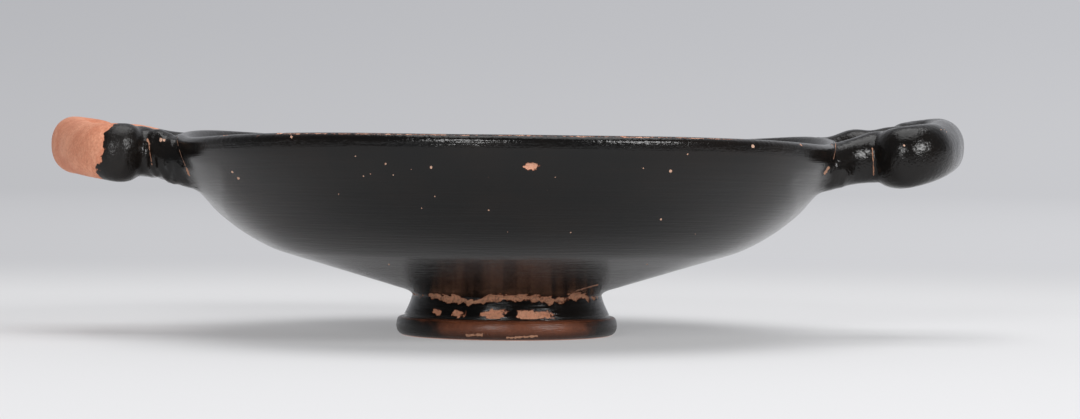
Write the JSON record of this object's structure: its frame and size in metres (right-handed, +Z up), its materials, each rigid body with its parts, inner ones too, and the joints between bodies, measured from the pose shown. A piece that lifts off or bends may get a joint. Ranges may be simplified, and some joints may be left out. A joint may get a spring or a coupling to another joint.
{
  "type": "kylix cup",
  "caption": "Black-gloss stemless kylix: a shallow bowl on a moulded ring foot, with looped horizontal handles pinched at their roots, worn and chipped.",
  "frame": {"origin": "on the ground in the middle of the cup's length and width, under the axis of the foot", "axes": "+X along both handles, +Y across to the cup's far side, +Z up out of the bowl"},
  "size_m": [0.2435, 0.175, 0.0578],
  "materials": {
    "black_gloss": "satin black slip over orange clay, worn to bare clay on one handle, the rim and the foot"
  },
  "bodies": {
    "root": {"cup": "black_gloss"}
  },
  "joints": []
}
